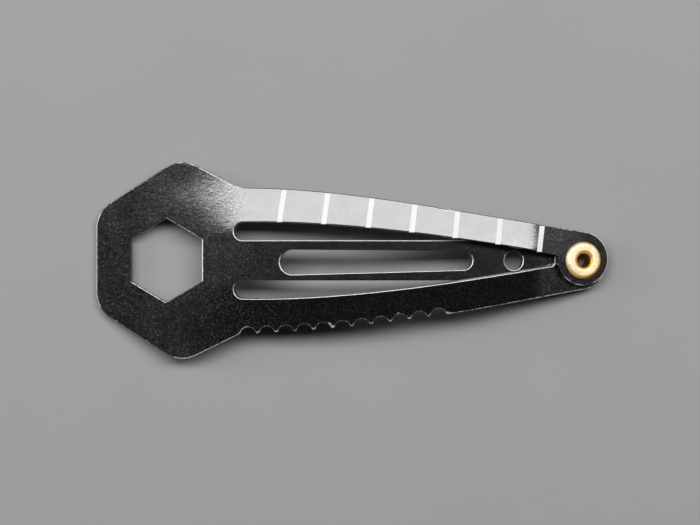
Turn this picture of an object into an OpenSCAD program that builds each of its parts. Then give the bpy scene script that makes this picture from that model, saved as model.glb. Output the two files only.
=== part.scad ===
// Multi-tool snap hair clip, closed. One stamped steel sheet makes the head, the
// two arms and the tongue; an eyelet clamps the ends of the arms together.
// X runs from the head to the tip, +Z is up, and the origin lies under the
// middle of the clip on the surface it rests on. Lengths are in millimetres.

/* [Sheet] */
// Thickness of the stamped sheet
sheet_t = 0.8; // [0.6:0.05:1]
// Angle the arms bend through between the head and the flat tip, in degrees
arch_turn = 30; // [24:1:36]
// Twist of each arm between its two ends, outer edge down, in degrees
arm_twist = 7.5; // [0:0.5:10]
// Length over which the twist builds up at each end of an arm
twist_run = 9; // [6:0.5:12]

/* [Head] */
// Distance from the straight back edge to the flex line
head_len = 18; // [17:0.1:20]
// Distance over the two side corners before they are rounded
head_w = 23.7; // [22:0.1:26]
// Length of the straight back edge before its corners are rounded
back_edge_w = 11.2; // [9:0.1:13]
// Distance from the back edge to the side corners
side_corner_x = 10.07; // [9:0.01:11]
// Radius of the four rounded corners
corner_r = 3.45; // [1:0.05:4]
// Distance before the flex line where the head meets the ruler arm's edge
ruler_shoulder = 1.06; // [0.8:0.02:1.4]
// Distance before the flex line where the head meets the line of teeth
saw_shoulder = 0.85; // [0.6:0.01:1]

/* [Wrench opening] */
// Distance between opposite flats of the hexagonal opening
hex_flats = 8.45; // [6:0.05:10]
// Distance from the back edge to the middle of the opening
hex_x = 8.4; // [7.5:0.05:9]

/* [Arms] */
// Distance along the sheet from the flex line to the middle of the eyelet
arm_len = 39.1; // [36:0.05:42]
// Outer edge of the ruler arm at the flex line, from the middle of the clip
ruler_outer_root = 8.33; // [8:0.01:8.6]
// Outer edge of the ruler arm at one third of the bend
ruler_outer_third = 7.49; // [7.3:0.01:7.7]
// Outer edge of the ruler arm at two thirds of the bend
ruler_outer_two_thirds = 5.73; // [5.5:0.01:6]
// Outer edge of the ruler arm at the end of the bend
ruler_outer_end = 3.84; // [3.6:0.01:4]
// Outer edge of the serrated arm at the flex line
saw_outer_root = 8.49; // [8.2:0.01:8.7]
// Outer edge of the serrated arm at one third of the bend
saw_outer_third = 7.65; // [7.4:0.01:7.9]
// Outer edge of the serrated arm at two thirds of the bend
saw_outer_two_thirds = 6.1; // [5.8:0.01:6.3]
// Outer edge of the serrated arm at the end of the bend
saw_outer_end = 4.03; // [3.7:0.01:4.2]
// Inner edge of both arms at the flex line
inner_root = 4.35; // [4.1:0.01:4.6]
// Inner edge of both arms at one third of the bend
inner_third = 3.86; // [3.6:0.01:4]
// Inner edge of both arms at two thirds of the bend
inner_two_thirds = 2.48; // [2.2:0.01:2.7]
// Inner edge of both arms at the end of the bend
inner_end = 0.65; // [0.4:0.01:0.8]

/* [Tip] */
// Radius of the round end of the ruler arm
ruler_tip_r = 3.1; // [2.9:0.05:3.2]
// Radius of the round end of the serrated arm
saw_tip_r = 3.2; // [3:0.05:3.4]
// Distance the middle of each round end lies towards its own arm's outer edge
tip_side = 0.2; // [0:0.05:0.3]
// Flat length of the arms ahead of their round ends
tip_flat = 0.3; // [0.25:0.05:0.6]
// Radius of the notch where the inner edges of the arms meet their round ends
notch_r = 0.4; // [0.2:0.05:0.5]

/* [Teeth] */
// Number of hollows along the serrated edge
scallop_count = 11; // [3:1:13]
// Distance between neighbouring hollows
scallop_pitch = 2.213; // [2.1:0.001:2.3]
// Radius of one hollow
scallop_r = 0.98; // [0.8:0.01:1]
// Depth of one hollow
scallop_depth = 0.83; // [0.5:0.01:0.9]

/* [Tongue] */
// Width of the tongue
tongue_w = 4.64; // [4:0.02:4.8]
// Distance from the end of the tongue to the middle of the eyelet
tongue_end_gap = 2.9; // [2.7:0.05:3.2]
// Distance the side slots run into the head past the flex line
slot_depth = 1.56; // [1.4:0.01:3]
// Distance from the flex line to the near end of the long slot
long_slot_start = 3.85; // [2:0.05:8]
// Distance between the far end of the long slot and the middle of the round hole
long_slot_gap = 5; // [3:0.05:8]
// Width of the long slot at its near end
long_slot_near_w = 2.84; // [1.5:0.02:3]
// Width of the long slot at its far end
long_slot_far_w = 2.16; // [1.5:0.02:2.6]
// Sideways offset of the near end of the long slot
long_slot_shift = 0.2; // [0:0.05:0.3]
// Distance from the middle of the round hole to the end of the tongue
tongue_hole_gap = 5; // [4:0.1:6]
// Diameter of the round hole
tongue_hole_d = 2.4; // [1.5:0.05:3]
// Gap between the closed tongue and the arms above it
closed_gap = 0.15; // [0.1:0.01:0.3]

/* [Eyelet] */
// Outer diameter of the domed rims
rim_d = 4.3; // [3.8:0.05:4.6]
// Height of each rim above the sheet
rim_h = 0.42; // [0.3:0.01:0.5]
// Diameter of the hole through the eyelet
bore_d = 1.5; // [1.2:0.05:1.8]
// Wall of the tube between the rims
tube_wall = 0.3; // [0.2:0.05:0.4]
// Radial clearance between the tube and the holes in the arms
tube_gap = 0.02; // [0.01:0.01:0.05]

/* [Graduations] */
// Distance along the arm between neighbouring lines
mark_pitch = 5; // [4:0.1:5]
// Distance from the flex line to the first line at the middle of the arm
mark_first = 4.25; // [2:0.05:4.6]
// Width of one line
mark_w = 0.6; // [0.3:0.05:1]
// Lean of the lines against the width of the clip, in degrees
mark_lean = 7; // [0:1:10]
// Bare strip between a line and the outer edge
mark_inset = 0.16; // [0.1:0.02:0.5]
// Bare strip between a line and the inner edge
mark_foot = 0.06; // [0.04:0.02:0.5]
// Thickness of the print
mark_t = 0.04; // [0.02:0.01:0.1]
// Gap left under the print for the facets of the bent sheet
mark_gap = 0.01; // [0.01:0.01:0.02]

/* [Joint] */
// Radial clearance of the rounded root of an arm in its socket
flex_gap = 0.03; // [0.02:0.01:0.06]
// Extra half thickness of the roots and the flat tips over the bent sheet
lap_step = 0.02; // [0.01:0.005:0.03]

/* [Hidden] */
$fn = 96;
// Overrun of every cut past the face it starts from
over = 1;
// Number of steps between the cross sections of a bent sheet
steps = 48;

half_t = sheet_t / 2;
bend_len = arm_len - max(ruler_tip_r, saw_tip_r) - tip_flat;
bend_r = bend_len / (arch_turn * PI / 180);
plate_t = sheet_t + 2 * lap_step;
root_r = half_t + lap_step;
ruler_outer = [ruler_outer_root, ruler_outer_third, ruler_outer_two_thirds, ruler_outer_end];
saw_outer = [-saw_outer_root, -saw_outer_third, -saw_outer_two_thirds, -saw_outer_end];
ruler_inner = [inner_root, inner_third, inner_two_thirds, inner_end];
saw_inner = [-inner_root, -inner_third, -inner_two_thirds, -inner_end];
arm_lift = half_t + lap_step;
tongue_drop = plate_t + closed_gap + half_t;
tongue_len = arm_len - tongue_end_gap;
tongue_hole_x = tongue_len - tongue_hole_gap;
long_slot_end = tongue_hole_x - long_slot_gap;
mark_step = mark_pitch * cos(mark_lean);
mark_count = 1 + floor((bend_len - mark_first - mark_w) / mark_step);

top_end = arm_len + ruler_tip_r;
lap_end = arm_len + saw_tip_r;

// The rim is the part of a circle that stands above the sheet
rim_mid = (rim_d + bore_d) / 4;
rim_half = (rim_d - bore_d) / 4;
rim_arc = (rim_half * rim_half + rim_h * rim_h) / (2 * rim_h);

// Tilts that bring the front of the tip, or the lower rim, level with the back edge
rim_x = bend_x(arm_len + rim_mid) - sin(arch_turn) * (plate_t + rim_h - rim_arc) + head_len;
rim_z = bend_z(arm_len + rim_mid) - cos(arch_turn) * (plate_t + rim_h - rim_arc) + half_t;
rim_tilt = asin(rim_arc / norm([rim_x, rim_z])) - atan2(rim_z, rim_x);
toe_x = bend_x(lap_end) - sin(arch_turn) * plate_t + head_len;
toe_z = bend_z(lap_end) - cos(arch_turn) * plate_t + half_t;
head_tilt = max(rim_tilt, -atan2(toe_z, toe_x));
front_x = bend_x(top_end) + sin(arch_turn) * plate_t;
front_z = bend_z(top_end) + cos(arch_turn) * plate_t;
lap_x = bend_x(lap_end);
lap_z = bend_z(lap_end);
back_reach = head_len * cos(head_tilt) + half_t * sin(head_tilt);
ruler_reach = front_x * cos(head_tilt) - front_z * sin(head_tilt);
saw_reach = lap_x * cos(head_tilt) - lap_z * sin(head_tilt);
front_reach = max(ruler_reach, saw_reach);
flex_x = (back_reach - front_reach) / 2;
flex_z = head_len * sin(head_tilt) + half_t * cos(head_tilt);

// Angle, length and height of the bent middle surface at a distance from the flex line
function bend_angle(u) = arch_turn * max(0, min(1, u / bend_len));
function bend_x(u) = bend_r * sin(bend_angle(u)) + max(0, u - bend_len) * cos(arch_turn);
function bend_z(u) = bend_r * (cos(bend_angle(u)) - 1) - max(0, u - bend_len) * sin(arch_turn);

// Smooth rise from 0 to 1 as a length grows from 0 to its full run
function ease(u, run) = let (s = max(0, min(1, u / run))) s * s * (3 - 2 * s);

// Share of the full twist at a distance from the flex line
function twist_share(u) = ease(u, twist_run) * ease(bend_len - u, twist_run);

// Curve through four widths at the root, the thirds and the end of the bend
function edge(widths, u) =
    let (s = 3 * min(1, u / bend_len))
    widths[0] * (1 - s) * (2 - s) * (3 - s) / 6
    + widths[1] * s * (2 - s) * (3 - s) / 2
    - widths[2] * s * (1 - s) * (3 - s) / 2
    + widths[3] * s * (1 - s) * (2 - s) / 6;

// Point at length u, width v and height h over a sheet twisted about width mid
function sheet_point(u, v, h, mid, twist, lift) =
    let (a = bend_angle(u), r = twist * twist_share(u), top = h + lift * ease(u, bend_len))
    let (rise = top * cos(r) - (v - mid) * sin(r))
    [
        bend_x(u) + rise * sin(a),
        mid + (v - mid) * cos(r) + top * sin(r),
        bend_z(u) + rise * cos(a)
    ];

// Four corners of one cross section between two edges
function section(u, inner, outer, low, high, twist, lift) =
    let (mid = (inner + outer) / 2)
    [
        sheet_point(u, inner, low, mid, twist, lift),
        sheet_point(u, outer, low, mid, twist, lift),
        sheet_point(u, outer, high, mid, twist, lift),
        sheet_point(u, inner, high, mid, twist, lift)
    ];

// Middle of the round end of an arm
function tip_middle(side) = [arm_len, side * tip_side];

// Where a line from point p touches a circle of radius r round the middle of a tip
function touch_point(p, r, side) =
    let (way = tip_middle(side) - p, d = norm(way), far = sqrt(d * d - r * r))
    let (a = atan2(way[1], way[0]) + side * asin(r / d))
    p + far * [cos(a), sin(a)];

// Puts a shape drawn in the plane of the head at its place in the closed clip
module in_place() {
    translate([flex_x, 0, flex_z])
        rotate([0, -head_tilt, 0])
            children();
}

// Puts a shape on the bent surface at a distance from the flex line
module on_bend(u) {
    translate([bend_x(u), 0, bend_z(u)])
        rotate([0, bend_angle(u), 0])
            children();
}

// Solid through a row of cross sections of four corners each
module through_sections(rows, flip) {
    last = len(rows) - 1;
    walls = [
        for (i = [0 : last - 1])
            for (k = [0 : 3])
                let (a = 4 * i + k, b = 4 * i + (k + 1) % 4)
                    each [[a, a + 4, b + 4], [a, b + 4, b]]
    ];
    near = [[0, 1, 2], [0, 2, 3]];
    far = [[4 * last, 4 * last + 2, 4 * last + 1], [4 * last, 4 * last + 3, 4 * last + 2]];
    faces = concat(walls, near, far);
    turned = [for (f = faces) [f[0], f[2], f[1]]];
    polyhedron(points = [for (row = rows) each row], faces = flip ? turned : faces, convexity = 4);
}

// Bent, twisted sheet of an arm with its rounded root
module bent_arm(inner, outer, side) {
    rows = [
        for (i = [0 : steps])
            let (u = bend_len * i / steps)
                section(u, edge(inner, u), edge(outer, u), -half_t, half_t, side * arm_twist, side * arm_lift)
    ];
    through_sections(rows, side < 0);
    flex_root(abs(outer[0] - inner[0]), (outer[0] + inner[0]) / 2);
}

// Rounded root that turns in the socket of the head
module flex_root(width, mid) {
    translate([0, mid, 0])
        rotate([90, 0, 0])
            cylinder(r = root_r, h = width, center = true);
}

// Flat round end of an arm, lying above or below the lap plane
module flat_tip(inner, outer, r, side) {
    back = bend_len - tip_flat / 2;
    grow = side * lap_step;
    heel = [bend_len, inner - grow];
    touch = touch_point([bend_len, outer + grow], r, side);
    on_bend(bend_len)
        translate([-bend_len, 0, side > 0 ? 0 : -plate_t])
            linear_extrude(plate_t) {
                polygon([
                    [back, inner - grow],
                    [back, outer + grow],
                    [bend_len, outer + grow],
                    touch,
                    tip_middle(side),
                    heel
                ]);
                translate(tip_middle(side))
                    circle(r = r);
                notch_fill(heel, r, side);
            }
}

// Rounds the inner corner between the neck of a flat tip and its round end
module notch_fill(heel, r, side) {
    middle = tip_middle(side);
    along = (heel - middle) / norm(heel - middle);
    across = side * [along[1], -along[0]];
    start = sqrt((r + notch_r) * (r + notch_r) - notch_r * notch_r);
    centre = middle + start * along - notch_r * across;
    difference() {
        polygon([
            middle,
            middle + start * along,
            middle + r * (centre - middle) / norm(centre - middle)
        ]);
        translate(centre)
            circle(r = notch_r);
    }
}

// Hole for the eyelet through a flat tip
module tube_hole() {
    on_bend(arm_len)
        cylinder(d = bore_d + 2 * tube_wall + 2 * tube_gap, h = 2 * plate_t + 2 * over, center = true);
}

// One hollow of the serrated edge
module scallop(u) {
    mid = (edge(saw_inner, u) + edge(saw_outer, u)) / 2;
    reach = edge(saw_outer, u) - scallop_r + scallop_depth;
    spot = sheet_point(u, reach, 0, mid, -arm_twist, -arm_lift);
    translate(spot)
        rotate([arm_twist * twist_share(u), bend_angle(u), 0])
            cylinder(r = scallop_r, h = plate_t + 2 * over, center = true);
}

// Head outline with true round corners
module head_outline() {
    side_x = side_corner_x - head_len;
    knee = [-ruler_shoulder, ruler_outer_root];
    fall = atan2(head_w / 2 - knee[1], knee[0] - side_x);
    fillet_r = ruler_shoulder / tan(fall / 2);
    corners = [
        [-head_len, -back_edge_w / 2],
        [side_x, -head_w / 2],
        [-saw_shoulder, -saw_outer_root],
        [0, -saw_outer_root],
        [0, ruler_outer_root],
        knee + ruler_shoulder * [-cos(fall), sin(fall)],
        [side_x, head_w / 2],
        [-head_len, back_edge_w / 2]
    ];
    count = len(corners);
    rounded = [0, 1, 6, 7];
    difference() {
        polygon([
            for (i = [0 : count - 1])
                let (before = corners[(i + count - 1) % count], after = corners[(i + 1) % count])
                    each len(search(i, rounded)) == 0 ? [corners[i]] : trimmed(before, corners[i], after)
        ]);
        translate([0, ruler_outer_root + fillet_r])
            circle(r = fillet_r);
    }
    for (i = rounded) {
        before = corners[(i + count - 1) % count];
        after = corners[(i + 1) % count];
        translate(round_middle(before, corners[i], after))
            circle(r = corner_r);
    }
}

// Directions from a corner to its neighbours and half the angle between them
function to_next(a, b) = (b - a) / norm(b - a);
function half_angle(a, b, c) = acos(to_next(b, a) * to_next(b, c)) / 2;

// Two points where the rounding of a corner starts and ends
function trimmed(a, b, c) =
    let (cut = corner_r / tan(half_angle(a, b, c)))
    [b + cut * to_next(b, a), b + cut * to_next(b, c)];

// Middle of the circle that rounds a corner
function round_middle(a, b, c) =
    let (way = to_next(b, a) + to_next(b, c))
    b + corner_r / sin(half_angle(a, b, c)) * way / norm(way);

// Rounded end of a side slot, cut into the head beside the tongue
module side_slot(side) {
    width = inner_root - tongue_w / 2;
    translate([width / 2 - slot_depth, side * (inner_root + tongue_w / 2) / 2]) {
        circle(d = width);
        translate([0, -width / 2])
            square([slot_depth + over, width]);
    }
}

module head_plate() {
    color("#1f2022")
        in_place()
            difference() {
                translate([0, 0, -half_t])
                    linear_extrude(sheet_t)
                        difference() {
                            head_outline();
                            translate([hex_x - head_len, 0])
                                rotate(30)
                                    circle(d = hex_flats / cos(30), $fn = 6);
                            side_slot(1);
                            side_slot(-1);
                        }
                rotate([90, 0, 0])
                    cylinder(r = root_r + flex_gap, h = head_w, center = true);
                translate([0, 0, -half_t])
                    scallop(0);
            }
}

module ruler_arm() {
    color("#2a2b2e")
        in_place()
            difference() {
                union() {
                    bent_arm(ruler_inner, ruler_outer, 1);
                    flat_tip(inner_end, ruler_outer_end, ruler_tip_r, 1);
                }
                tube_hole();
            }
}

module serrated_arm() {
    color("#17181a")
        in_place()
            difference() {
                union() {
                    bent_arm(saw_inner, saw_outer, -1);
                    flat_tip(-inner_end, -saw_outer_end, saw_tip_r, -1);
                }
                tube_hole();
                for (i = [0 : scallop_count - 1])
                    scallop(i * scallop_pitch);
            }
}

// Long slot of the tongue, cut square to the middle of its length
module long_slot() {
    mid = (long_slot_start + long_slot_end) / 2;
    near = [long_slot_start + long_slot_near_w / 2 - mid, -long_slot_shift];
    far = [long_slot_end - long_slot_far_w / 2 - mid, 0];
    lean = asin((long_slot_near_w - long_slot_far_w) / 2 / norm(far - near));
    turn = atan2(far[1] - near[1], far[0] - near[0]);
    up = [sin(lean - turn), cos(lean - turn)];
    down = [sin(lean + turn), -cos(lean + turn)];
    on_bend(mid)
        translate([0, 0, -bend_r / 2])
            linear_extrude(bend_r) {
                polygon([
                    near + long_slot_near_w / 2 * up,
                    far + long_slot_far_w / 2 * up,
                    far + long_slot_far_w / 2 * down,
                    near + long_slot_near_w / 2 * down
                ]);
                translate(near)
                    circle(d = long_slot_near_w);
                translate(far)
                    circle(d = long_slot_far_w);
            }
}

module centre_tongue() {
    half_w = tongue_w / 2;
    rows = [
        for (i = [0 : steps])
            section(tongue_len * i / steps, -half_w, half_w, -half_t, half_t, 0, -tongue_drop)
    ];
    color("#232427")
        in_place()
            difference() {
                union() {
                    through_sections(rows, false);
                    flex_root(tongue_w, 0);
                }
                on_bend(tongue_len - half_w)
                    translate([0, 0, -bend_r / 2])
                        linear_extrude(bend_r)
                            difference() {
                                translate([0, -tongue_w])
                                    square([half_w + over, 2 * tongue_w]);
                                circle(r = half_w);
                            }
                long_slot();
                on_bend(tongue_hole_x)
                    cylinder(d = tongue_hole_d, h = 2 * tongue_drop + 2 * over, center = true);
            }
}

// Half of the eyelet: one rim and the tube up to the lap plane
module eyelet_half() {
    rotate_extrude() {
        translate([bore_d / 2, 0])
            square([tube_wall, plate_t]);
        intersection() {
            translate([rim_mid, plate_t + rim_h - rim_arc])
                circle(r = rim_arc);
            translate([0, plate_t])
                square([rim_d, rim_d]);
        }
    }
}

module eyelet() {
    color("#c9a24a")
        in_place()
            on_bend(arm_len) {
                eyelet_half();
                mirror([0, 0, 1])
                    eyelet_half();
            }
}

// One printed line lying on the ruler arm
module mark(u) {
    top = edge(ruler_outer, u) - mark_inset;
    foot = edge(ruler_inner, u) + mark_foot;
    mid = (edge(ruler_outer, u) + edge(ruler_inner, u)) / 2;
    low = half_t + mark_gap;
    rows = [
        for (k = [-1 : 0.5 : 1])
            let (s = k * mark_w / 2, top_u = u + s + (top - mid) * tan(mark_lean))
                let (foot_u = u + s + (foot - mid) * tan(mark_lean))
                    [
                        sheet_point(foot_u, foot, low, mid, arm_twist, arm_lift),
                        sheet_point(top_u, top, low, mid, arm_twist, arm_lift),
                        sheet_point(top_u, top, low + mark_t, mid, arm_twist, arm_lift),
                        sheet_point(foot_u, foot, low + mark_t, mid, arm_twist, arm_lift)
                    ]
    ];
    through_sections(rows, false);
}

module ruler_marks() {
    color("#f4f4f0")
        in_place()
            for (i = [0 : mark_count - 1])
                mark(mark_first + i * mark_step);
}

head_plate();
ruler_arm();
serrated_arm();
centre_tongue();
eyelet();
ruler_marks();
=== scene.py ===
import math

import bpy
import numpy as np
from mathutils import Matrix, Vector
from mathutils.geometry import delaunay_2d_cdt


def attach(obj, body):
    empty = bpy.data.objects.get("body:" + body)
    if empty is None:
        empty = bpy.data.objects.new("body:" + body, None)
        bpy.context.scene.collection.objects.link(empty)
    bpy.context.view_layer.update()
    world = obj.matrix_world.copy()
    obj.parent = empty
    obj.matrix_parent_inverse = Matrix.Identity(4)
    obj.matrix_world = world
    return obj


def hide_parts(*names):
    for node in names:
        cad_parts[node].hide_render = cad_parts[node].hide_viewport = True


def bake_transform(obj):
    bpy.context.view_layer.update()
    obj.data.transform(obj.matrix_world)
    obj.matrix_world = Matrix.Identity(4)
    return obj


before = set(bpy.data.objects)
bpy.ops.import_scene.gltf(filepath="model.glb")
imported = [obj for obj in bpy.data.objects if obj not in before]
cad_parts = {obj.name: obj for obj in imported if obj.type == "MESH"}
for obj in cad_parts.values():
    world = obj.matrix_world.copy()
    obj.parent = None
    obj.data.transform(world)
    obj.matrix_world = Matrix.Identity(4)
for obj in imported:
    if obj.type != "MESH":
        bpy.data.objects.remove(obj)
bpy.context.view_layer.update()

MM = 0.001

# Sizes in millimetres, as in the part's source. Lengths along the sheet start at the flex line.
HALF = 0.4
PLATE = 0.84
HEAD_LEN = 18.0
HEX_FLATS = 8.45
HEX_X = 8.4 - HEAD_LEN
ARM_LEN = 39.1
TIP_R = {"ruler": 3.1, "saw": 3.2}
TIP_MIDDLE = (ARM_LEN, 0.2)
TIP_FLAT = 0.3
NOTCH_R = 0.4
BEND_LEN = ARM_LEN - TIP_R["saw"] - TIP_FLAT
ARCH = math.radians(30)
BEND_R = BEND_LEN / ARCH
TILT = math.radians(12.562955)
FLEX = np.array([-12.027637, 0.0, 4.305643])
TWIST = math.radians(7.5)
INNER = (4.35, 3.86, 2.48, 0.65)
OUTER = {"ruler": (8.33, 7.49, 5.73, 3.84), "saw": (8.49, 7.65, 6.1, 4.03)}
SCALLOP_PITCH = 2.213
SCALLOPS = [i * SCALLOP_PITCH for i in range(11)]
SCALLOP_R = 0.98
SCALLOP_DEPTH = 0.83
DROP = 1.39
TONGUE_HALF = 2.32
TONGUE_LEN = ARM_LEN - 2.9
HOLE_X = TONGUE_LEN - 5
MARK_FIRST = 4.25
MARK_PITCH = 5
MARK_LEAN = math.radians(7)
RIM_R = 2.15
RIM_H = 0.42
BORE_R = 0.75

# Sizes that differ from the source or are not in it. The tongue's hole is 0.07 smaller in
# radius, so that the bright line of its rounded edge lies where the photo has it.
HOLE_R = 1.13
TUBE_HOLE_R = 1.12
ROUND = 0.095
TOOTH_WORN = 0.1
TURNS = 96


# ---- the bent sheet as a surface over the flat blank ----

def ease(x, run):
    s = np.clip(x / run, 0, 1)
    return s * s * (3 - 2 * s)


def edge(widths, u):
    s = 3 * np.clip(u / BEND_LEN, 0, 1)
    a, b, c, d = widths
    return (a * (1 - s) * (2 - s) * (3 - s) / 6 + b * s * (2 - s) * (3 - s) / 2
            - c * s * (1 - s) * (3 - s) / 2 + d * s * (1 - s) * (2 - s) / 6)


def twist_share(u, v):
    """Share of the arms' roll. It grows slowly across the head and fades before the flat tips.

    It starts earliest behind the middle of each arm's root.
    """
    latest, sooner, middle, inner_run, outer_run = -7, 5.5, 7.7, 2.3, 1.8
    roll_end, roll_fade = 34.8, 2.8
    off = np.abs(v) - middle
    start = latest - sooner * np.exp(-((off / np.where(off < 0, inner_run, outer_run)) ** 2))
    return np.clip(1 - u / start, 0, 1) ** 1.5 * ease(roll_end - u, roll_fade)


def root_slope(v):
    """The head stays flat in line with the tongue and takes up the roll beside it."""
    flat_half, run = 2.5, 1.8
    return ease(np.abs(v) - flat_half, run)


def shoulder_drop(u, v):
    """How far the roll carries the head's surface down at u, v, per unit of the roll's slope."""
    n = 40
    across = np.abs(v)[..., None] * np.linspace(0, 1, n + 1)
    slope = twist_share(u[..., None], across) * root_slope(across)
    return np.abs(v) * (slope.sum(-1) - (slope[..., 0] + slope[..., -1]) / 2) / n


def lay(kind, u, v, h):
    """Points of the closed clip, in metres.

    They are given by flat places u, v in the blank and heights h over the middle surface.
    """
    u, v, h = np.broadcast_arrays(*(np.asarray(a, float) for a in (u, v, h)))
    side = np.sign(v) if kind == "head" else (-1.0 if kind == "saw" else 1.0)
    beyond = np.maximum(0, u - BEND_LEN)
    a = ARCH * np.clip(u / BEND_LEN, 0, 1)
    x = BEND_R * np.sin(a) + beyond * math.cos(ARCH) + np.minimum(0, u)
    z = BEND_R * (np.cos(a) - 1) - beyond * math.sin(ARCH)
    if kind == "tongue":
        y, rise = v, h - DROP * ease(u, BEND_LEN)
    elif kind == "head":
        roll = TWIST * twist_share(u, v) * root_slope(v)
        mid = (INNER[0] + np.where(v >= 0, OUTER["ruler"][0], OUTER["saw"][0])) / 2
        y = v + side * ((np.abs(v) - mid) * (np.cos(roll) - 1) + h * np.sin(roll))
        rise = h * np.cos(roll) - shoulder_drop(u, v) * math.sin(TWIST)
    else:
        pivot, pivot_run = 3.4, 14
        mid = (edge(INNER, u) + edge(OUTER[kind], u)) / 2
        roll = TWIST * twist_share(u, v)
        top = h + side * PLATE / 2 * ease(u, BEND_LEN)
        out = side * v - mid
        y = side * (mid + out * np.cos(roll) + top * np.sin(roll))
        arm = out + (mid - pivot) * (1 - ease(u, pivot_run))
        rise = top * np.cos(roll) - arm * np.sin(roll)
    px, py, pz = x + rise * np.sin(a), y, z + rise * np.cos(a)
    return np.stack([
        FLEX[0] + px * math.cos(TILT) - pz * math.sin(TILT),
        py,
        FLEX[2] + px * math.sin(TILT) + pz * math.cos(TILT),
    ], -1) * MM


def tangents(kind, u, v):
    """Unit directions along u and v, and the unit normal, of the middle surface."""
    e, zero = 1e-3, np.zeros_like(u)
    du = lay(kind, u + e, v, zero) - lay(kind, u - e, v, zero)
    dv = lay(kind, u, v + e, zero) - lay(kind, u, v - e, zero)
    n = np.cross(du, dv)
    return [w / np.linalg.norm(w, axis=-1, keepdims=True) for w in (du, dv, n)]


# ---- outlines in the flat blank, counter-clockwise outside and clockwise for holes ----

def arc(centre, r, start, end, step=0.13):
    """Points on a circle, about a step apart."""
    n = max(3, int(abs(end - start) * r / step) + 1)
    a = np.linspace(start, end, n)
    return [(centre[0] + r * math.cos(t), centre[1] + r * math.sin(t)) for t in a]


def short_turn(start, end):
    """The way from one angle to another, by less than half a turn."""
    return (end - start + math.pi) % (2 * math.pi) - math.pi


def dense(points, closed=False, step=0.28):
    """The same path with points no further apart than step."""
    out = []
    path = list(points) + ([points[0]] if closed else [])
    for p, q in zip(path, path[1:]):
        n = max(1, math.ceil(math.dist(p, q) / step))
        for i in range(n):
            out.append((p[0] + (q[0] - p[0]) * i / n, p[1] + (q[1] - p[1]) * i / n))
    return out if closed else out + [path[-1]]


def corner(before, at, after, r):
    """Arc that rounds a corner of a path."""
    b, p, q = (np.array(w, float) for w in (at, before, after))
    d1, d2 = (p - b) / np.linalg.norm(p - b), (q - b) / np.linalg.norm(q - b)
    half = math.acos(float(d1 @ d2)) / 2
    c = b + r / math.sin(half) * (d1 + d2) / np.linalg.norm(d1 + d2)
    s, e = b + d1 * r / math.tan(half) - c, b + d2 * r / math.tan(half) - c
    a0, a1 = math.atan2(s[1], s[0]), math.atan2(e[1], e[0])
    return arc(c, r, a0, a0 + short_turn(a0, a1))


def tooth_edge(widths, u):
    """Outer edge of the saw arm, where the points of the teeth are worn down a little."""
    teeth_end, run = 23.4, 0.8
    return float(edge(widths, np.float64(u))) - TOOTH_WORN * float(ease(teeth_end - u, run))


def on_hollow(c, t):
    """Point of a hollow's circle about c, at an angle."""
    return c[0] + SCALLOP_R * math.cos(t), c[1] + SCALLOP_R * math.sin(t)


def meets_edge(widths, c, right):
    """Angle at which a hollow's circle crosses the outer edge, on its right or left side."""
    low, high = (-0.5, 0.6) if right else (math.pi + 0.5, math.pi - 0.6)
    for _ in range(40):
        t = (low + high) / 2
        u, v = on_hollow(c, t)
        low, high = (low, t) if v > tooth_edge(widths, u) else (t, high)
    return low


def scallop_arcs(widths):
    """Outer edge with its hollows, up to the end of the bend, on the positive side."""
    path, point_r, cut, look, reach = [], 0.14, 0.15 / SCALLOP_R, 0.2, 0.3
    for k, u0 in enumerate(SCALLOPS):
        c = (u0, float(edge(widths, np.float64(u0))) - SCALLOP_DEPTH + SCALLOP_R)
        start = math.pi * 1.5 if k == 0 else meets_edge(widths, c, False)
        end = 2 * math.pi + meets_edge(widths, c, True)
        first, last = on_hollow(c, start), on_hollow(c, end)
        if k > 0:
            land = (first[0] - reach, tooth_edge(widths, first[0] - 0.01))
            path += corner(land, first, on_hollow(c, start + look), point_r)
        path += arc(c, SCALLOP_R, start + (cut if k > 0 else 0.0), end - cut, 0.07)
        land = (last[0] + reach, tooth_edge(widths, last[0] + reach))
        path += corner(on_hollow(c, end - look), last, land, point_r)
    tail = np.linspace(path[-1][0] + 0.2, BEND_LEN, 60)
    return path + [(float(t), tooth_edge(widths, t)) for t in tail]


def arm_outline(kind):
    """Outline of an arm on the positive side, and the points that close it at the flex line."""
    widths, r = OUTER[kind], TIP_R[kind]
    inner = [(float(t), float(edge(INNER, t))) for t in np.linspace(0, BEND_LEN, 126)]
    heel, middle = np.array(inner[-1]), np.array(TIP_MIDDLE)
    along = (heel - middle) / np.linalg.norm(heel - middle)
    foot = middle + math.sqrt((r + NOTCH_R) ** 2 - NOTCH_R ** 2) * along
    c = foot + NOTCH_R * np.array([-along[1], along[0]])
    a0 = math.atan2(*(foot - c)[::-1])
    a1 = math.atan2(*(middle - c)[::-1])
    fillet = arc(c, NOTCH_R, a0, a0 + short_turn(a0, a1), 0.08)
    outer_end = np.array([BEND_LEN, float(edge(widths, BEND_LEN))])
    d = np.linalg.norm(middle - outer_end)
    lean = math.atan2(middle[1] - outer_end[1], middle[0] - outer_end[0]) + math.asin(r / d)
    touch = outer_end + math.sqrt(d * d - r * r) * np.array([math.cos(lean), math.sin(lean)])
    b0 = math.atan2(*(c - middle)[::-1])
    b1 = math.atan2(*(touch - middle)[::-1])
    disc = arc(middle, r, b0 if b0 < 0 else b0 - 2 * math.pi, b1)
    if kind == "saw":
        outer = scallop_arcs(widths)
    else:
        outer = nicked([(float(t), float(edge(widths, t))) for t in np.linspace(0, BEND_LEN, 252)])
    back = dense([tuple(touch), tuple(outer_end)])[1:-1] + outer[::-1]
    loop = [p for p in inner if p[0] < foot[0] - 0.1] + fillet + disc[1:] + back
    return loop, seam_points(loop[-1][1], INNER[0])


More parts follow.
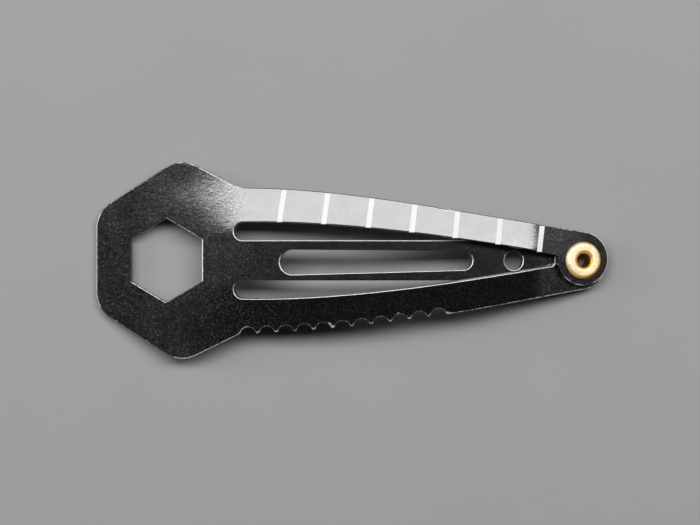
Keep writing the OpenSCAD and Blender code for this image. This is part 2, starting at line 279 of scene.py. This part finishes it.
def nicked(points):
    """Small dents in the ruler arm's outer edge, as place, half width and depth."""
    dents = (
        (22.1, 0.22, 0.08), (22.9, 0.34, 0.13), (24.0, 0.22, 0.08),
        (24.7, 0.16, 0.06), (18.2, 0.15, 0.04),
    )
    out = []
    for u, v in points:
        drop = sum(deep * max(0.0, 1 - ((u - at) / wide) ** 2) for at, wide, deep in dents)
        out.append((u, v - drop))
    return out


def seam_points(start, end):
    """Points on the flex line, between two widths, where a sheet is cut open."""
    n = max(2, int(abs(end - start) / 0.3))
    return [(0.0, start + (end - start) * i / n) for i in range(1, n)]


def flipped(loop):
    return [(u, -v) for u, v in loop][::-1]


def hexagon_hole():
    """The wrench opening, with its corners rounded a little."""
    hex_r = HEX_FLATS / math.sqrt(3)
    angles = [math.radians(30 + 60 * i) for i in range(6)]
    corners = [(HEX_X + hex_r * math.cos(t), hex_r * math.sin(t)) for t in angles]
    hole = []
    for i in range(6):
        hole += corner(corners[i - 1], corners[i], corners[(i + 1) % 6], 0.12)
    return dense(hole, True)[::-1]


def head_loops():
    """Outline of the head with the ends of the slots and the first hollow, and the hexagon.

    It is 0.004 narrower to a side than in the source, so that it stays within the CAD's box.
    """
    side_x, half_w, half_back, corner_r = 10.07 - HEAD_LEN, 11.846, 5.6, 3.45
    knee_back, saw_back, slot_depth = 1.06, 0.85, 1.56
    ruler_root, saw_root = OUTER["ruler"][0], OUTER["saw"][0]
    knee = (-knee_back, ruler_root)
    fall = math.atan2(half_w - knee[1], knee[0] - side_x)
    fillet_r = knee_back / math.tan(fall / 2)
    shoulder = (knee[0] - knee_back * math.cos(fall), knee[1] + knee_back * math.sin(fall))
    fillet = arc((0, knee[1] + fillet_r), fillet_r, -math.pi / 2, -math.pi / 2 - fall)
    corners = [
        shoulder, (side_x, half_w), (-HEAD_LEN, half_back),
        (-HEAD_LEN, -half_back), (side_x, -half_w), (-saw_back, -saw_root),
    ]
    rounded = []
    for i in range(1, 5):
        rounded += corner(corners[i - 1], corners[i], corners[i + 1], corner_r)
    c = (0.0, -(saw_root - SCALLOP_DEPTH + SCALLOP_R))
    slope = (saw_root - half_w) / (side_x + saw_back)
    hollow = [p for p in arc(c, SCALLOP_R, math.pi, math.pi / 2, 0.07)
              if -p[1] < saw_root + max(0.0, -saw_back - p[0]) * -slope]
    slot_r = (INNER[0] - TONGUE_HALF) / 2
    slot_c = (slot_r - slot_depth, (INNER[0] + TONGUE_HALF) / 2)
    slot = arc(slot_c, slot_r, -math.pi / 2, -3 * math.pi / 2, 0.1)
    upper = dense([(0.0, TONGUE_HALF), slot[0]])[:-1] + slot
    upper += dense([slot[-1], (0.0, INNER[0])])[1:]
    lower = flipped(upper)
    parts = [
        ([], seam_points(hollow[-1][1], -INNER[0])),
        (lower, seam_points(-TONGUE_HALF, TONGUE_HALF)),
        (upper, seam_points(INNER[0], ruler_root)),
        (fillet + dense([fillet[-1], *rounded, hollow[0]])[1:-1] + hollow, []),
    ]
    loop, seam = [], []
    for points, cut in parts:
        loop += points + cut
        seam += [False] * len(points) + [True] * len(cut)
    return [(loop, seam), (hexagon_hole(), None)]


def arm_loops(kind):
    """Outline of an arm on its own side, and its hole for the eyelet's tube."""
    loop, cut = arm_outline(kind)
    whole, seam = loop + cut, [False] * len(loop) + [True] * len(cut)
    if kind == "saw":
        whole, seam = flipped(whole), seam[::-1]
    ring = arc((ARM_LEN, 0), TUBE_HOLE_R, 2 * math.pi, 0)[:-1]
    return [(whole, seam), (ring, None)]


def tongue_loops():
    """Outline of the tongue, its long slot and its round hole."""
    low = dense([(0.0, -TONGUE_HALF), (TONGUE_LEN - TONGUE_HALF, -TONGUE_HALF)])
    end = arc((TONGUE_LEN - TONGUE_HALF, 0), TONGUE_HALF, -math.pi / 2, math.pi / 2)[1:-1]
    loop = low + end + flipped(low)
    cut = seam_points(TONGUE_HALF, -TONGUE_HALF)
    near_r, far_r = 1.42, 1.08
    near, far = (3.85 + near_r, -0.2), (HOLE_X - 5 - far_r, 0.0)
    slot = arc(near, near_r, math.pi / 2, 3 * math.pi / 2)
    slot += arc(far, far_r, -math.pi / 2, math.pi / 2)
    hole = arc((HOLE_X, 0), HOLE_R, 2 * math.pi, 0, 0.1)[:-1]
    return [
        (loop + cut, [False] * len(loop) + [True] * len(cut)),
        (dense(slot, True)[::-1], None),
        (hole, None),
    ]


# ---- meshes ----

def outward(loop, seam):
    """Outward direction and corner stretch at each point, and which edges lie on a seam."""
    p = np.array(loop)
    d = np.roll(p, -1, 0) - p
    d /= np.maximum(np.linalg.norm(d, axis=1, keepdims=True), 1e-9)
    normal = np.stack([d[:, 1], -d[:, 0]], 1)
    s = np.array(seam if seam is not None else [False] * len(p))
    open_edge = s | np.roll(s, -1)
    normal[open_edge] = 0
    before = np.roll(normal, 1, 0)
    out = normal + before
    size = np.linalg.norm(out, axis=1)
    unit = np.where(size[:, None] > 1e-6, out / np.maximum(size[:, None], 1e-9), 0)
    both = (np.linalg.norm(normal, axis=1) > 0) & (np.linalg.norm(before, axis=1) > 0)
    stretch = np.where(both, 2 / np.maximum(size, 1.1), 1.0)
    at_seam = (np.abs(p[:, 0]) < 1e-9) & ~s
    unit[at_seam] = np.stack([np.zeros(at_seam.sum()), np.sign(unit[at_seam][:, 1])], 1)
    return unit, stretch, open_edge


def inside(points, loops):
    """Even-odd test of points against closed loops."""
    x, y = points[:, 0], points[:, 1]
    odd = np.zeros(len(points), bool)
    for loop in loops:
        a, b = loop, np.roll(loop, -1, 0)
        for (x0, y0), (x1, y1) in zip(a, b):
            if y0 != y1:
                hit = ((y0 > y) != (y1 > y)) & (x < (x1 - x0) * (y - y0) / (y1 - y0) + x0)
                odd ^= hit
    return odd


def fill(loops, gap, extra):
    """Triangles over the area between loops, through a grid of points and some extra ones.

    The loops' points keep their places at the front of the list.
    """
    rim = np.concatenate(loops)
    lo, hi = rim.min(0), rim.max(0)
    gx, gy = np.meshgrid(np.arange(lo[0], hi[0], gap), np.arange(lo[1], hi[1], gap * 0.87))
    gx = gx + (np.arange(gx.shape[0]) % 2)[:, None] * gap / 2
    grid = np.stack([gx.ravel(), gy.ravel()], 1)
    grid = grid[inside(grid, loops)]
    far = np.array([np.min(np.sum((rim - g) ** 2, 1)) for g in grid]) > (0.6 * gap) ** 2
    points = np.concatenate([rim, grid[far], extra])
    edges, at = [], 0
    for loop in loops:
        n = len(loop)
        edges += [(at + i, at + (i + 1) % n) for i in range(n)]
        at += n
    _, _, faces, origin, _, _ = delaunay_2d_cdt([Vector(p) for p in points], edges, [], 0, 1e-7)
    back = [o[0] for o in origin]
    tri = np.array([[back[i] for i in f] for f in faces if all(origin[i] for i in f)])
    tri = tri[inside(points[tri].mean(1), loops)]
    a, b, c = points[tri[:, 0]], points[tri[:, 1]], points[tri[:, 2]]
    turn = (b[:, 0] - a[:, 0]) * (c[:, 1] - a[:, 1]) - (b[:, 1] - a[:, 1]) * (c[:, 0] - a[:, 0])
    tri[turn < 0] = tri[turn < 0][:, ::-1]
    return points, tri


def rim_profile():
    """Steps of inset, height, lean of the normal and edge mark, from the top face to the bottom
    face.

    The first and the last step lie on the faces, where sheet_mesh sets the mark itself.
    """
    # The edge mark on each step is partly scuffed coat and partly painted highlight.
    steps = [(ROUND + 0.035, HALF, 0.0, 0.0)]
    for k, wear_and_light in enumerate((0.8, 1, 1, 1, 0.8, 0.5)):
        t = math.radians(18 * k)
        steps.append((ROUND * (1 - math.sin(t)), HALF - ROUND * (1 - math.cos(t)), t, wear_and_light))
    steps.append((0.0, 0.0, math.pi / 2, 0.25))
    low = 0.6 * ROUND
    for k, wear_and_light in enumerate((0.5, 0.9, 0.9, 0.0)):
        t = math.radians(90 + 30 * k)
        steps.append((low * (1 - math.sin(t)), -HALF + low * (1 + math.cos(t)), t, wear_and_light))
    return steps


def head_wear_and_highlight(u, v, up, along):
    """Head's edge mark, scuffed coat and painted highlight: flanks, slot ends and the hexagon's
    flats.
    """
    # Values set by the way each edge faces paint a highlight where light would catch it.
    upper, lower = up > 0.5, up < -0.5
    flank = np.where(upper, 0.5, np.where(lower, 0.42, 1.1))
    flank = np.where((along > 0.2) & upper, 0.8, flank)
    flank = np.where((along > 0.2) & lower, 0.85, flank)
    flank = np.where(up < -0.95, 0.95, flank)
    hexed = np.where(along < -0.9, 2.0, np.where(along > 0.9, 0.12, 0.1))
    hexed = np.where((along > 0.2) & upper, 0.7, hexed)
    hexed = np.where((along < -0.2) & lower, 0.7, hexed)
    slot = 0.5 + 0.5 * np.clip(up + 0.6 * along, -0.8, 1)
    hex_reach, slot_start, slot_half = 5.2, -1.6, 4.4
    in_hex = (np.abs(u - HEX_X) < hex_reach) & (np.abs(v) < hex_reach)
    in_slot = (np.abs(v) < slot_half) & (u > slot_start)
    return np.where(in_hex, hexed, np.where(in_slot, slot, flank))


def edge_wear_and_highlight(kind, p, o):
    """Edge mark along an outline, from its place and facing: scuffed coat and painted highlight.
    """
    # The way an edge faces sets a painted highlight; the dents and nicks on the ruler arm are
    # scuffs.
    u, v, up, along = p[:, 0], p[:, 1], o[:, 1], o[:, 0]
    teeth_end, neck, front = 23.3, 36, 40.3
    if kind == "head":
        return head_wear_and_highlight(u, v, up, along)
    if kind == "tongue":
        return np.clip(0.55 + 0.5 * up + 0.35 * np.abs(along), 0, 1) * np.where(u < 35, 1, 0.3)
    if kind == "saw":
        return np.where(up > 0.3, 1.0, np.where(u < teeth_end, 0.42, 0.65))
    dents = 0.55 * np.exp(-((u - 23.2) / 1.6) ** 2)
    outer = np.where(u > neck, np.where(along > 0.3, 1.3, 0.55), 0.12) + dents
    disc = 0.3 + 0.75 * np.exp(-((u - 37.15) / 0.3) ** 2) + 0.6 * np.exp(-((u - 38.5) / 0.5) ** 2)
    inner = np.where(u > front, 0.9, np.where(u > neck, disc, 0.25))
    return np.where(up < 0, inner, outer)


def sheet_mesh(name, kind, loops, gap, wear_and_light=None, extra=()):
    """Stamped sheet with rounded edges, laid on the bent surface, with true surface normals."""
    rims = [(np.array(loop), *outward(loop, seam)) for loop, seam in loops]
    steps = rim_profile()
    first, last = steps[0][0], steps[-1][0]
    caps = [p - o * (first * s)[:, None] for p, o, s, _ in rims]
    flat, tri = fill(caps, gap, np.reshape(extra, (-1, 2)))
    n_cap = len(flat)
    low_flat = flat.copy()
    at = 0
    for p, o, s, _ in rims:
        low_flat[at:at + len(p)] = p - o * (last * s)[:, None]
        at += len(p)
    where = [flat, flat]
    co = [
        lay(kind, flat[:, 0], flat[:, 1], np.full(n_cap, HALF)),
        lay(kind, low_flat[:, 0], low_flat[:, 1], np.full(n_cap, -HALF)),
    ]
    up = tangents(kind, flat[:, 0], flat[:, 1])[2]
    nor = [up, -up]
    wear_and_light_values = [np.zeros(n_cap), np.zeros(n_cap)]
    faces = [tuple(t) for t in tri] + [tuple(t[::-1] + n_cap) for t in tri]
    base, at = 2 * n_cap, 0
    for p, o, s, is_open in rims:
        n = len(p)
        # Edge mark: scuffed coat, and painted highlight on edges that face the light.
        worth = edge_wear_and_highlight(kind, p, o)
        wear_and_light_values[0][at:at + n] = np.clip(worth - 1, 0, 1)
        pu, pv, pn = tangents(kind, p[:, 0], p[:, 1])
        out3 = pu * o[:, :1] + pv * o[:, 1:]
        rings = [np.arange(at, at + n)]
        for inset, height, lean, step_share in steps[1:-1]:
            q = p - o * (inset * s)[:, None]
            co.append(lay(kind, q[:, 0], q[:, 1], np.full(n, height)))
            nor.append(pn * math.cos(lean) + out3 * math.sin(lean))
            wear_and_light_values.append(step_share * worth)
            where.append(q)
            rings.append(np.arange(base, base + n))
            base += n
        rings.append(np.arange(at, at + n) + n_cap)
        for a, b in zip(rings, rings[1:]):
            for i in range(n):
                j = (i + 1) % n
                if not is_open[i]:
                    faces.append((a[i], b[i], b[j], a[j]))
        at += n
    wear_and_light_values = np.concatenate(wear_and_light_values)
    if wear_and_light is not None:
        wear_and_light_values = np.clip(wear_and_light_values + wear_and_light(np.concatenate(where)), 0, 1)
    return build(name, np.concatenate(co), faces, np.concatenate(nor), wear_and_light_values)


def build(name, co, faces, normals, wear_and_light_values):
    """Smooth mesh object with its own normals and a mark of scuffs and painted light at each
    point.
    """
    me = bpy.data.meshes.new(name)
    me.from_pydata([tuple(c) for c in co], [], [tuple(int(i) for i in f) for f in faces])
    me.update()
    me.shade_smooth()
    size = np.linalg.norm(normals, axis=1, keepdims=True)
    me.normals_split_custom_set_from_vertices((normals / np.maximum(size, 1e-9)).tolist())
    mark = me.attributes.new("wear_and_light", "FLOAT", "POINT")
    mark.data.foreach_set("value", wear_and_light_values.astype(np.float32))
    obj = bpy.data.objects.new(name, me)
    bpy.context.scene.collection.objects.link(obj)
    return obj


def tooth_wear(where):
    """Bare metal at the points between the hollows, and at two burrs given by their ends."""
    out = np.zeros(len(where))
    strength = (1.2, 1.2, 0.3, 1.3, 1.4, 0.5, 1.2, 1.4, 1.2, 0.5, 1.0)
    burrs = (((9.3, -6.85), (10.0, -7.6), 1.3), ((17.0, -6.15), (17.8, -5.85), 0.9))
    point_r, burr_r = 0.36, 0.15
    for at, strong in zip(SCALLOPS, strength):
        u = at + SCALLOP_PITCH / 2
        v = -float(edge(OUTER["saw"], np.float64(u)))
        away = np.hypot(where[:, 0] - u, where[:, 1] - v)
        out += strong * np.maximum(0, 1.25 - away / point_r)
    for start, end, strong in burrs:
        a, run = np.array(start), np.array(end) - start
        t = np.clip((where - a) @ run / (run @ run), 0, 1)
        away = np.hypot(*(where - a - t[:, None] * run).T)
        out += np.maximum(0, strong - away / burr_r)
    return out


def lathe(name, profile, normals, wear_and_light_values):
    """Ring turned from a closed profile of radius and height about the eyelet's axis."""
    a = np.linspace(0, 2 * math.pi, TURNS, endpoint=False)[:, None]
    cos, sin = np.cos(a), np.sin(a)
    m = len(profile)
    x = BEND_R * math.sin(ARCH) + (ARM_LEN - BEND_LEN) * math.cos(ARCH)
    z = BEND_R * (math.cos(ARCH) - 1) - (ARM_LEN - BEND_LEN) * math.sin(ARCH)

    def turned(p):
        return np.stack([p[:, 0] * cos, p[:, 0] * sin, p[:, 1] + 0 * cos], -1).reshape(-1, 3)

    def tipped(p, x=0, z=0):
        px = p[:, 0] * math.cos(ARCH) + p[:, 2] * math.sin(ARCH) + x
        pz = -p[:, 0] * math.sin(ARCH) + p[:, 2] * math.cos(ARCH) + z
        wx = px * math.cos(TILT) - pz * math.sin(TILT)
        wz = px * math.sin(TILT) + pz * math.cos(TILT)
        return np.stack([wx, p[:, 1], wz], -1)

    faces = []
    for i in range(TURNS):
        p, q = i * m, (i + 1) % TURNS * m
        faces += [(p + j, q + j, q + (j + 1) % m, p + (j + 1) % m) for j in range(m)]
    co = (tipped(turned(profile), x, z) + FLEX) * MM
    return build(name, co, faces, tipped(turned(normals)), wear_and_light_values.ravel())


# ---- materials ----

RANGE_KEYS = ("From Min", "From Max", "To Min", "To Max")
# Place along X, in metres, from which the coat looks as it does at the tip
TIP_X = 0.0212


class Nodes:
    """Small helper for node trees."""

    def __init__(self, name):
        self.mat = bpy.data.materials.new(name)
        self.mat.use_nodes = True
        self.tree = self.mat.node_tree
        self.bsdf = self.tree.nodes["Principled BSDF"]
        self.place = self.new("ShaderNodeTexCoord").outputs["Object"]

    def new(self, kind, **values):
        node = self.tree.nodes.new(kind)
        for key, value in values.items():
            setattr(node, key, value)
        return node

    def join(self, a, b):
        self.tree.links.new(a, b)

    def noise(self, scale, detail=3.0, rough=0.55):
        node = self.new("ShaderNodeTexNoise")
        node.inputs["Scale"].default_value = scale
        node.inputs["Detail"].default_value = detail
        node.inputs["Roughness"].default_value = rough
        self.join(self.place, node.inputs["Vector"])
        return node.outputs["Fac"]

    def axis(self, name):
        node = self.new("ShaderNodeSeparateXYZ")
        self.join(self.place, node.inputs[0])
        return node.outputs[name]

    def dots(self, scale):
        """Round dots of uneven strength, one to a cell."""
        node = self.new("ShaderNodeTexVoronoi")
        node.inputs["Scale"].default_value = scale
        self.join(self.place, node.inputs["Vector"])
        split = self.new("ShaderNodeSeparateColor")
        self.join(node.outputs["Color"], split.inputs[0])
        strong = self.band(split.outputs[0], 0.15, 1.0)
        near = self.band(node.outputs["Distance"], 0.2, 0.65, 1.0, 0.0)
        return self.math("MULTIPLY", strong, near)

    def band(self, value, low, high, to_low=0.0, to_high=1.0):
        """The value's place between low and high, taken to the range from to_low to to_high."""
        node = self.new("ShaderNodeMapRange")
        node.clamp = True
        for key, number in zip(RANGE_KEYS, (low, high, to_low, to_high)):
            node.inputs[key].default_value = number
        self.join(value, node.inputs["Value"])
        return node.outputs["Result"]

    def math(self, how, a, b):
        node = self.new("ShaderNodeMath", operation=how)
        for socket, value in zip(node.inputs, (a, b)):
            if isinstance(value, (int, float)):
                socket.default_value = value
            else:
                self.join(value, socket)
        return node.outputs[0]

    def blend(self, share, a, b):
        node = self.new("ShaderNodeMix", data_type="RGBA")
        self.join(share, node.inputs["Factor"])
        for socket, value in ((node.inputs[6], a), (node.inputs[7], b)):
            if isinstance(value, tuple):
                socket.default_value = (*value, 1)
            else:
                self.join(value, socket)
        return node.outputs[2]

    def bump(self, height, strength, distance):
        node = self.new("ShaderNodeBump")
        node.inputs["Strength"].default_value = strength
        node.inputs["Distance"].default_value = distance
        self.join(height, node.inputs["Height"])
        self.join(node.outputs["Normal"], self.bsdf.inputs["Normal"])

    # Mark of scuffed coat and painted light, as the meshes carry it.
    def wear_and_light(self):
        return self.new("ShaderNodeAttribute", attribute_name="wear_and_light").outputs["Fac"]


def steel_specks(m, along, across):
    """Fine specks, strongest on the head and at the tip, and faint on the ruler arm."""
    patchy = m.band(m.noise(1100, 3, 0.65), 0.35, 0.65, 0.6, 1.0)
    head, tip = m.band(along, -0.012, -0.004, 1.0, 0.5), m.band(along, TIP_X, 0.0226, 0.0, 0.6)
    ruler = m.math("MULTIPLY", m.band(across, 0.002, 0.0032), m.band(along, -0.015, -0.012))
    ruler = m.math("SUBTRACT", ruler, m.band(along, TIP_X, 0.022))
    specks = m.math("MULTIPLY", m.math("MULTIPLY", m.dots(6400), patchy), m.math("ADD", head, tip))
    return m.math("MULTIPLY", specks, m.band(ruler, 0, 1, 1.0, 0.12))


def steel_gloss(m, along, across, grain):
    """Roughness of the coat: duller across the head's middle and in a patch at the tip."""
    cloud = m.band(m.noise(450, 4, 0.6), 0.3, 0.7)
    middle = m.band(along, -0.0145, -0.0115, 1.0, 0.0)
    middle = m.math("MULTIPLY", m.band(along, -0.0255, -0.0225), middle)
    dull = m.math("MULTIPLY", middle, m.band(across, -0.004, 0.002, 0.5, 1.0))
    rough = m.math("ADD", m.band(dull, 0, 1, 0.147, 0.17), m.band(cloud, 0, 1, -0.01, 0.025))
    rough = m.math("ADD", rough, m.band(grain, 0.3, 0.7, -0.02, 0.03))
    tip = m.band(along, 0.0242, 0.0265, 0.0, 0.8)
    tip = m.math("SUBTRACT", m.band(along, TIP_X, 0.0222), tip)
    patch = m.math("MULTIPLY", tip, m.band(across, -0.0005, 0.0012, 0.0, 0.06))
    return m.math("ADD", rough, patch)


def coated_steel():
    """Satin black coat with fine specks, turning to uncoated steel where the edge mark says."""
    m = Nodes("black_coated_steel")
    along, across = m.axis("X"), m.axis("Y")
    grain, mottle = m.noise(5500, 2, 0.6), m.noise(1700, 3, 0.7)
    specks = steel_specks(m, along, across)
    coat = m.blend(specks, (0.09, 0.09, 0.09), (0.22, 0.22, 0.22))
    patch = m.band(m.noise(3600, 4, 0.7), 0.3, 0.7, -0.4, 0.4)
    uneven = m.math("MULTIPLY", patch, m.band(m.wear_and_light(), 0, 0.1))
    # Uncoated steel at scuffed edges, and as painted highlight on edges that face the light.
    bare_and_highlight = m.band(m.math("ADD", m.wear_and_light(), uneven), 0.45, 0.7)
    m.join(m.blend(bare_and_highlight, coat, (0.64, 0.63, 0.62)), m.bsdf.inputs["Base Color"])
    rough = steel_gloss(m, along, across, grain)
    m.join(m.math("ADD", rough, m.math("MULTIPLY", bare_and_highlight, 0.26)), m.bsdf.inputs["Roughness"])
    m.join(m.band(specks, 0, 1, 1.0, 0.55), m.bsdf.inputs["Metallic"])
    m.bsdf.inputs["Coat Weight"].default_value = 0.045
    m.bsdf.inputs["Coat Roughness"].default_value = 0.45
    ripple = m.math("MULTIPLY", mottle, m.band(along, -0.012, -0.007, 2.6, 1.5))
    m.bump(m.math("ADD", grain, ripple), 1.0, 0.000006)
    return m.mat


def brass():
    """Dull pale brass, golden and brown where the ring's mark of painted shade says."""
    m = Nodes("brass")
    cloud = m.band(m.noise(2600, 3, 0.7), 0.35, 0.65)
    plate = m.blend(cloud, (0.87, 0.68, 0.36), (0.99, 0.92, 0.72))
    # Painted shade from the ring's mark, with uneven tone from noise.
    shade_and_mottle = m.math("ADD", m.wear_and_light(), m.band(m.noise(1800, 3, 0.6), 0.35, 0.65, -0.14, 0.22))
    gold = m.blend(m.band(shade_and_mottle, 0.12, 0.5), plate, (0.8, 0.47, 0.12))
    brown = m.blend(m.band(shade_and_mottle, 0.6, 1.0), gold, (0.3, 0.16, 0.04))
    m.join(brown, m.bsdf.inputs["Base Color"])
    m.join(m.band(m.noise(3500, 4, 0.6), 0.3, 0.7, 0.46, 0.6), m.bsdf.inputs["Roughness"])
    m.bsdf.inputs["Metallic"].default_value = 1.0
    m.bump(m.noise(3600, 4, 0.7), 1.0, 0.000016)
    return m.mat


def white_print():
    m = Nodes("white_print")
    paint = m.blend(m.noise(3000, 3), (0.93, 0.93, 0.92), (0.98, 0.98, 0.97))
    m.join(paint, m.bsdf.inputs["Base Color"])
    m.bsdf.inputs["Roughness"].default_value = 0.55
    m.bump(m.noise(6000, 2), 0.15, 0.000004)
    return m.mat


def floor_paint():
    m = Nodes("floor_paint")
    paint = m.blend(m.noise(60, 3), (0.37, 0.37, 0.37), (0.39, 0.39, 0.39))
    m.join(paint, m.bsdf.inputs["Base Color"])
    m.bsdf.inputs["Roughness"].default_value = 0.9
    m.bsdf.inputs["Specular IOR Level"].default_value = 0.2
    return m.mat


# ---- pieces ----

def dress(obj, material, slot, *nodes):
    obj.data.materials.append(material)
    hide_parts(*nodes)


def flexes(obj):
    """Bakes the object's placement into its mesh."""
    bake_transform(obj)


def make_head(steel):
    flat_x = HEX_X + HEX_FLATS / 2 + ROUND + 0.12
    row = [(flat_x, v) for v in np.arange(-2.4, 2.5, 0.1)]
    obj = sheet_mesh("head_plate_sheet", "head", head_loops(), 0.42, extra=row)
    dress(obj, steel, "black_coated_steel", "head_plate")
    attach(obj, "head")


def make_arm(kind, name, node, steel):
    obj = sheet_mesh(name, kind, arm_loops(kind), 0.36, tooth_wear if kind == "saw" else None)
    dress(obj, steel, "black_coated_steel", node)
    flexes(obj)


def make_tongue(steel):
    obj = sheet_mesh("centre_tongue_sheet", "tongue", tongue_loops(), 0.36)
    dress(obj, steel, "black_coated_steel", "centre_tongue")
    flexes(obj)


def mark_strip(u):
    """Flat places in one printed line whose middle lies at u, in rows across the arm."""
    half_w, foot_gap, top_gap = 0.3, 0.03, 0.15
    inner, outer = float(edge(INNER, u)), float(edge(OUTER["ruler"], u))
    foot, top, mid = inner + foot_gap, outer - top_gap, (inner + outer) / 2
    columns, steps = np.linspace(-half_w, half_w, 5), np.linspace(0, 1, 25)
    aside, share = np.meshgrid(columns, steps, indexing="ij")
    v = foot + (top - foot) * share
    return u + aside + (v - mid) * math.tan(MARK_LEAN), v


def make_marks(ink):
    """Seven thin lines on the ruler arm, each a little off its place, as the print is."""
    co, nor, faces, base = [], [], [], 0
    over, under = 0.012, 0.01
    for i, shift in enumerate((-0.2, -0.06, 0.06, 0.02, -0.04, -0.05, -0.1)):
        u, v = mark_strip(MARK_FIRST + i * MARK_PITCH * math.cos(MARK_LEAN) + shift)
        rows, k = u.shape
        u, v = u.ravel(), v.ravel()
        up = tangents("ruler", u, v)[2]
        co += [lay("ruler", u, v, HALF + over), lay("ruler", u, v, HALF - under)]
        nor += [up, up]
        for a in range(rows - 1):
            p, q = base + a * k, base + (a + 1) * k
            faces += [(p + b, q + b, q + b + 1, p + b + 1) for b in range(k - 1)]
        border = [a * k for a in range(rows)] + [(rows - 1) * k + b for b in range(1, k)]
        border += [a * k + k - 1 for a in range(rows - 2, -1, -1)] + list(range(k - 2, 0, -1))
        low = base + rows * k
        for a, b in zip(border, border[1:] + border[:1]):
            faces.append((base + b, low + b, low + a, base + a))
        base += 2 * rows * k
    co, nor = np.concatenate(co), np.concatenate(nor)
    obj = build("ruler_marks_print", co, faces, nor, np.zeros(base))
    dress(obj, ink, "white_print", "ruler_marks")
    flexes(obj)


def crown(t, square, full):
    """Radius and height of a rim at a share of the way from its outer edge to the bore."""
    sunk = 0.03
    mid, half = (RIM_R + BORE_R) / 2, (RIM_R - BORE_R) / 2
    c = math.cos(math.pi * t)
    bulge = max(0.0, 1 - abs(c) ** square) ** full
    return mid + half * c, PLATE - sunk + (RIM_H + sunk) * bulge


def make_eyelet(metal):
    """Rolled ring, golden in its funnel and tube and brown on one side of its skirt, as painted
    shade.
    """
    shares = np.linspace(0, 1, 49)
    top = [crown(t, 4.0, 0.6) for t in shares]
    low = [crown(t, 3.2, 0.62) for t in shares[::-1]]
    p = np.array(top + [(r, -h) for r, h in low])
    step = np.roll(p, -1, 0) - np.roll(p, 1, 0)
    normals = np.stack([step[:, 1], -step[:, 0]], 1)
    normals /= np.linalg.norm(normals, axis=1, keepdims=True)
    r, h = p[:, 0], np.abs(p[:, 1])
    turn = np.linspace(0, 2 * math.pi, TURNS, endpoint=False)[:, None]
    # Painted shade, strongest towards the lower right: gold in the funnel and tube, brown on the
    # skirt as a painted reflection.
    shaded_side = (0.5 + 0.5 * np.cos(turn - math.radians(300))) ** 2
    funnel = 0.5 * np.clip((1.24 - 0.08 * shaded_side - r) / 0.14, 0, 1)
    tube = 0.5 * np.clip((1.1 - h) / 0.12, 0, 1) * (r < 1.2)
    skirt = shaded_side * np.clip((r - 1.85 + 0.16 * shaded_side) / 0.2, 0, 1)
    obj = lathe("eyelet_ring", p, normals, funnel + tube + skirt)
    dress(obj, metal, "brass", "eyelet")
    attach(obj, "frame")


def make_floor():
    bpy.ops.mesh.primitive_plane_add(size=4, location=(0, 0, -0.00002))
    floor = bpy.context.object
    floor.name = "floor"
    floor.data.materials.append(floor_paint())


def lamp(name, place, size, power, aim):
    """Soft rectangular lamp that the camera doesn't see."""
    light = bpy.data.lights.new(name, "AREA")
    light.shape = "RECTANGLE"
    light.size, light.size_y = size
    light.energy = power
    obj = bpy.data.objects.new(name, light)
    bpy.context.scene.collection.objects.link(obj)
    obj.location = place
    obj.rotation_mode = "QUATERNION"
    obj.rotation_quaternion = (Vector(aim) - Vector(place)).to_track_quat("-Z", "Y")
    obj.visible_camera = False


def make_sky():
    """Dim light from all round. Eye and gloss also see a white wall rise from the horizon."""
    world = bpy.data.worlds.new("studio")
    world.use_nodes = True
    tree = world.node_tree
    place = tree.nodes.new("ShaderNodeTexCoord")
    split = tree.nodes.new("ShaderNodeSeparateXYZ")
    wall = tree.nodes.new("ShaderNodeMapRange")
    wall.interpolation_type = "SMOOTHSTEP"
    for key, number in zip(RANGE_KEYS, (0.6, 0.3, 0.03, 1.0)):
        wall.inputs[key].default_value = number
    tree.links.new(place.outputs["Generated"], split.inputs["Vector"])
    tree.links.new(split.outputs["Z"], wall.inputs["Value"])
    path = tree.nodes.new("ShaderNodeLightPath")
    seen = path.outputs["Is Camera Ray"]
    for kind in ("Is Glossy Ray", "Is Transmission Ray"):
        both = tree.nodes.new("ShaderNodeMath")
        both.operation = "MAXIMUM"
        tree.links.new(seen, both.inputs[0])
        tree.links.new(path.outputs[kind], both.inputs[1])
        seen = both.outputs[0]
    pick = tree.nodes.new("ShaderNodeMix")
    pick.inputs["A"].default_value = 0.01
    tree.links.new(seen, pick.inputs["Factor"])
    tree.links.new(wall.outputs["Result"], pick.inputs["B"])
    tree.links.new(pick.outputs["Result"], tree.nodes["Background"].inputs["Strength"])
    tree.nodes["Background"].inputs["Color"].default_value = (1, 1, 1, 1)
    bpy.context.scene.world = world


def make_lights():
    """A wide lamp overhead, which the ruler arm mirrors, a small one at the left, and the sky."""
    lamp("softbox", (0.07, 0.2123, 0.6), (1.06, 0.1955), 5.2, aim=(0.07, 0.2123, 0))
    lamp("side_softbox", (-0.56, 0.14, 0.3), (0.18, 0.28), 0.85, aim=(0, 0, 0))
    make_sky()


def make_camera():
    """Straight down from half a metre, with the photo's scale at 3 mm over the floor."""
    far, height, pixels_per_mm, pixels_wide = 0.5, 0.003, 8.656, 700
    cam = bpy.data.cameras.new("camera")
    cam.sensor_width = 36
    cam.lens = pixels_per_mm * (far - height) / MM * cam.sensor_width / pixels_wide
    cam.clip_end = 10
    obj = bpy.data.objects.new("camera", cam)
    bpy.context.scene.collection.objects.link(obj)
    obj.location = (-0.000237, -0.000248, far)
    bpy.context.scene.camera = obj


def main():
    steel = coated_steel()
    make_head(steel)
    make_arm("ruler", "ruler_arm_sheet", "ruler_arm", steel)
    make_arm("saw", "serrated_arm_sheet", "serrated_arm", steel)
    make_tongue(steel)
    make_marks(white_print())
    make_eyelet(brass())
    make_floor()
    make_lights()
    make_camera()
    bpy.context.scene.view_settings.view_transform = "Standard"


main()
